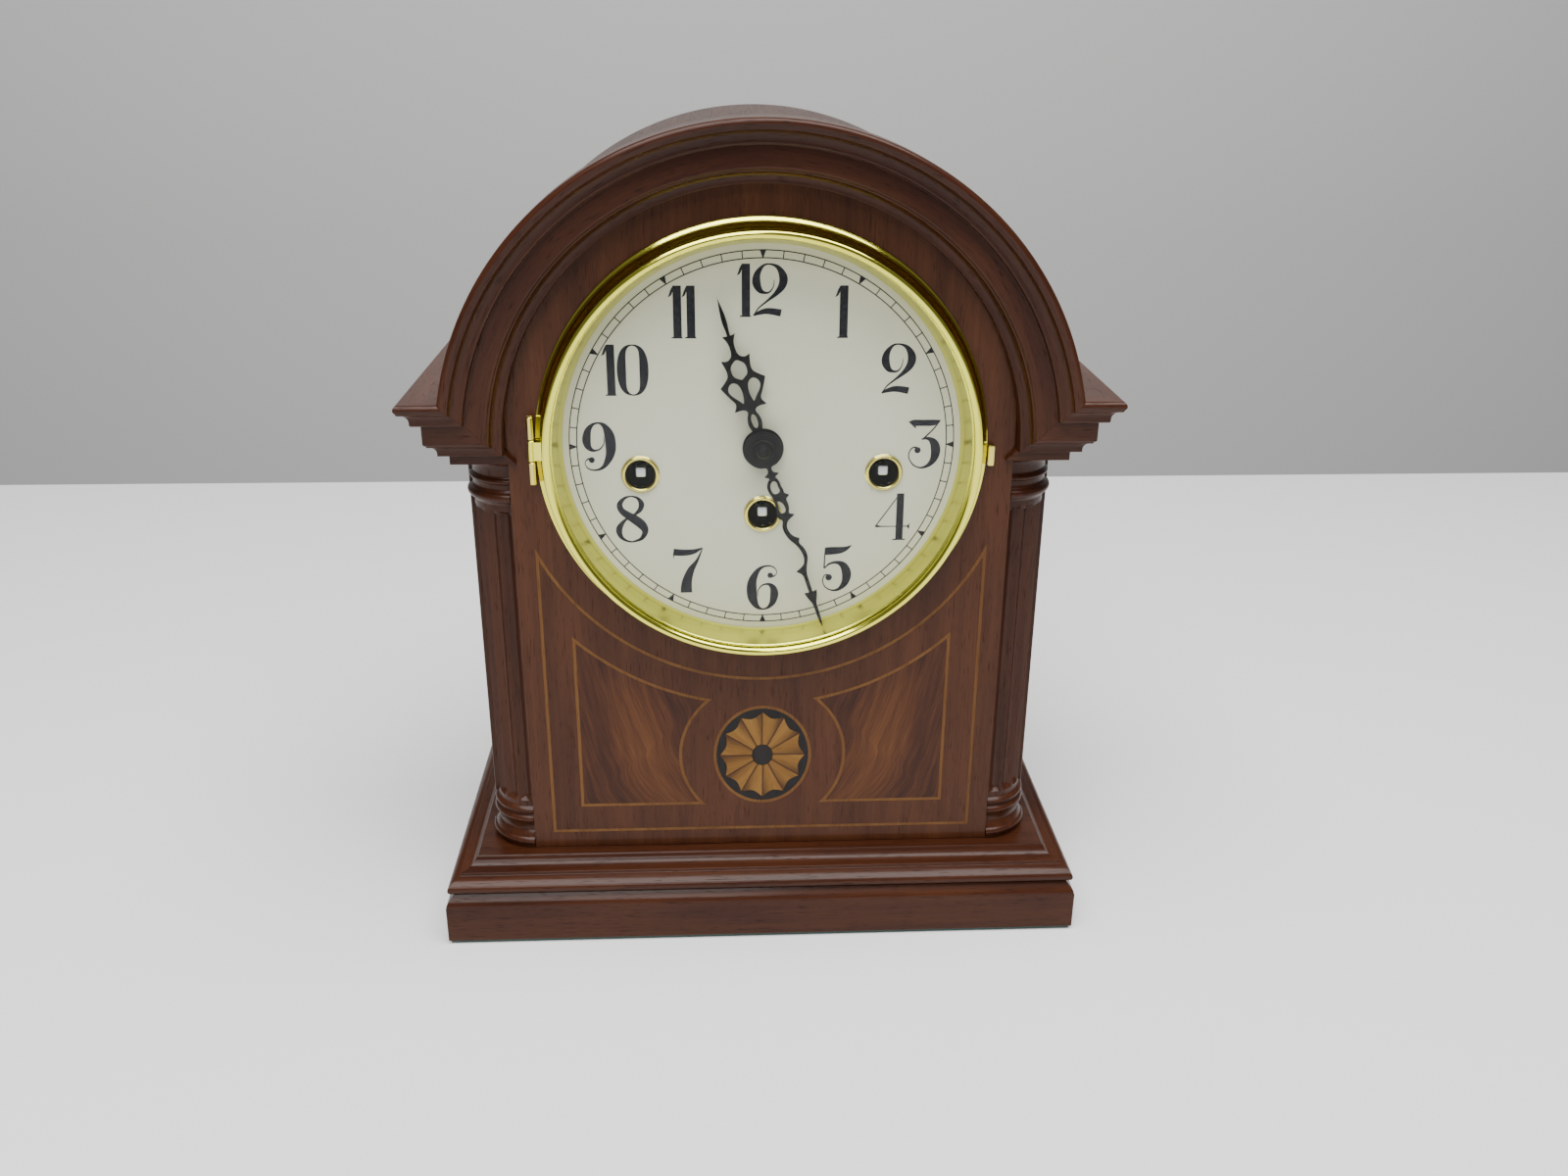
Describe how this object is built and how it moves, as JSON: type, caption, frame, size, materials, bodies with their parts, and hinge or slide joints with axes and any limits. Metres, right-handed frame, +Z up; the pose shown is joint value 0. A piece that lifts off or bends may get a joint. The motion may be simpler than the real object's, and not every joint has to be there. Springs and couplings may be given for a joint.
{
  "type": "mantel clock",
  "caption": "Arched mahogany mantel clock with fluted quarter columns, line and fan inlay, hinged brass bezel over a cream dial, and a key-wound chiming movement.",
  "frame": {"origin": "middle of the clock's footprint on the surface it stands on", "axes": "+Z up, the dial faces -Y, +X to the viewer's right"},
  "size_m": [0.2932, 0.155, 0.3647],
  "materials": {
    "mahogany": "satin lacquer over red-brown mahogany",
    "flame_veneer": "satin lacquer over figured veneer",
    "light_inlay": "satin lacquer over light wood",
    "polished_brass": "polished and lacquered",
    "movement_brass": "rolled sheet, brushed",
    "steel": "bright",
    "blackened_steel": "satin black",
    "cast_iron": "painted black",
    "dial_cream": "matt cream enamel",
    "glass": "clear",
    "felt": "wool felt"
  },
  "bodies": {
    "case": {"plinth": "mahogany", "base_moulding": "mahogany", "front_panel": "mahogany", "side_panel_left": "mahogany", "side_panel_right": "mahogany", "column_left": "mahogany", "column_right": "mahogany", "cornice_left": "mahogany", "cornice_right": "mahogany", "arch_moulding": "mahogany", "barrel_roof": "mahogany", "back_frame": "mahogany", "inlay_panel_left": "flame_veneer", "inlay_panel_right": "flame_veneer", "outer_stringing": "light_inlay", "medallion": "light_inlay", "dial_ring": "polished_brass", "winding_eyelet_strike": "polished_brass", "winding_eyelet_time": "polished_brass", "winding_eyelet_chime": "polished_brass", "bezel_hinge_leaf": "polished_brass", "bezel_catch": "polished_brass", "front_plate": "movement_brass", "back_plate": "movement_brass", "pillar_low_left": "movement_brass", "pillar_low_right": "movement_brass", "pillar_high_left": "movement_brass", "pillar_high_right": "movement_brass", "balance_bridge": "movement_brass", "hammer_bracket": "steel", "chime_rod_1": "steel", "chime_rod_2": "steel", "chime_rod_3": "steel", "chime_rod_4": "steel", "chime_block": "cast_iron", "dial": "dial_cream", "felt_base": "felt"},
    "bezel": {"bezel_ring": "polished_brass", "bezel_glass": "glass"},
    "minute_work": {"minute_hand": "blackened_steel", "hand_nut": "blackened_steel", "cannon_pinion": "steel"},
    "hour_work": {"hour_hand": "blackened_steel", "hour_wheel": "movement_brass"},
    "minute_wheel": {"minute_wheel": "movement_brass"},
    "intermediate_wheel": {"intermediate_wheel": "movement_brass"},
    "time_barrel": {"spring_barrel_time": "movement_brass"},
    "strike_barrel": {"spring_barrel_strike": "movement_brass"},
    "chime_barrel": {"spring_barrel_chime": "movement_brass"},
    "time_arbor": {"winding_arbor_time": "steel"},
    "strike_arbor": {"winding_arbor_strike": "steel"},
    "chime_arbor": {"winding_arbor_chime": "steel"},
    "balance": {"balance_wheel": "movement_brass"},
    "chime_drum": {"chime_drum": "movement_brass"},
    "hammer_1": {"chime_hammer_1": "steel"},
    "hammer_2": {"chime_hammer_2": "steel"},
    "hammer_3": {"chime_hammer_3": "steel"},
    "hammer_4": {"chime_hammer_4": "steel"},
    "back_door": {"back_door": "mahogany", "door_knob": "polished_brass"}
  },
  "joints": [
    {"name": "bezel_hinge", "type": "hinge", "parent": "case", "child": "bezel", "pos_m": [-0.0957, -0.0607, 0.233], "axis": [0, 0, -1], "range_deg": [0, 100]},
    {"name": "minute_turn", "type": "hinge", "parent": "case", "child": "minute_work", "pos_m": [0, -0.0575, 0.233], "axis": [0, 1, 0], "continuous": true},
    {"name": "hour_turn", "type": "hinge", "parent": "case", "child": "hour_work", "pos_m": [0, -0.0575, 0.233], "axis": [0, 1, 0], "continuous": true},
    {"name": "minute_wheel_turn", "type": "hinge", "parent": "case", "child": "minute_wheel", "pos_m": [-0.012, -0.0575, 0.233], "axis": [0, 1, 0], "continuous": true},
    {"name": "intermediate_turn", "type": "hinge", "parent": "case", "child": "intermediate_wheel", "pos_m": [0.026, -0.0575, 0.218], "axis": [0, 1, 0], "continuous": true},
    {"name": "time_barrel_turn", "type": "hinge", "parent": "case", "child": "time_barrel", "pos_m": [0, -0.0575, 0.2027], "axis": [0, 1, 0], "continuous": true},
    {"name": "strike_barrel_turn", "type": "hinge", "parent": "case", "child": "strike_barrel", "pos_m": [-0.0515, -0.0575, 0.2208], "axis": [0, 1, 0], "continuous": true},
    {"name": "chime_barrel_turn", "type": "hinge", "parent": "case", "child": "chime_barrel", "pos_m": [0.0515, -0.0575, 0.2208], "axis": [0, 1, 0], "continuous": true},
    {"name": "strike_winding", "type": "hinge", "parent": "case", "child": "strike_arbor", "pos_m": [-0.0515, -0.0575, 0.2208], "axis": [0, 1, 0], "continuous": true},
    {"name": "time_winding", "type": "hinge", "parent": "case", "child": "time_arbor", "pos_m": [0, -0.0575, 0.2027], "axis": [0, 1, 0], "continuous": true},
    {"name": "chime_winding", "type": "hinge", "parent": "case", "child": "chime_arbor", "pos_m": [0.0515, -0.0575, 0.2208], "axis": [0, 1, 0], "continuous": true},
    {"name": "balance_swing", "type": "hinge", "parent": "case", "child": "balance", "pos_m": [-0.03, -0.0575, 0.255], "axis": [0, 1, 0], "range_deg": [-135, 135], "stiffness_Nm_per_rad": 0.00002},
    {"name": "chime_drum_turn", "type": "hinge", "parent": "case", "child": "chime_drum", "pos_m": [0.071, -0.0575, 0.137], "axis": [0, 1, 0], "continuous": true},
    {"name": "hammer_1_lift", "type": "hinge", "parent": "case", "child": "hammer_1", "pos_m": [0.06, 0.0095, 0.12], "axis": [0, 1, 0], "range_deg": [-4.5, 14], "stiffness_Nm_per_rad": 0.02},
    {"name": "hammer_2_lift", "type": "hinge", "parent": "case", "child": "hammer_2", "pos_m": [0.06, 0.0175, 0.12], "axis": [0, 1, 0], "range_deg": [-4.5, 14], "stiffness_Nm_per_rad": 0.02},
    {"name": "hammer_3_lift", "type": "hinge", "parent": "case", "child": "hammer_3", "pos_m": [0.06, 0.0255, 0.12], "axis": [0, 1, 0], "range_deg": [-4.5, 14], "stiffness_Nm_per_rad": 0.02},
    {"name": "hammer_4_lift", "type": "hinge", "parent": "case", "child": "hammer_4", "pos_m": [0.06, 0.0335, 0.12], "axis": [0, 1, 0], "range_deg": [-4.5, 14], "stiffness_Nm_per_rad": 0.02},
    {"name": "back_door_hinge", "type": "hinge", "parent": "case", "child": "back_door", "pos_m": [0.0958, 0.0723, 0.233], "axis": [0, 0, -1], "range_deg": [0, 110]}
  ],
  "couplings": [
    {"joint": "hour_turn", "follows": "minute_turn", "ratio": 0.083333},
    {"joint": "minute_wheel_turn", "follows": "minute_turn", "ratio": -0.33333},
    {"joint": "intermediate_turn", "follows": "minute_turn", "ratio": -0.38889},
    {"joint": "time_barrel_turn", "follows": "minute_turn", "ratio": 0.059829}
  ]
}
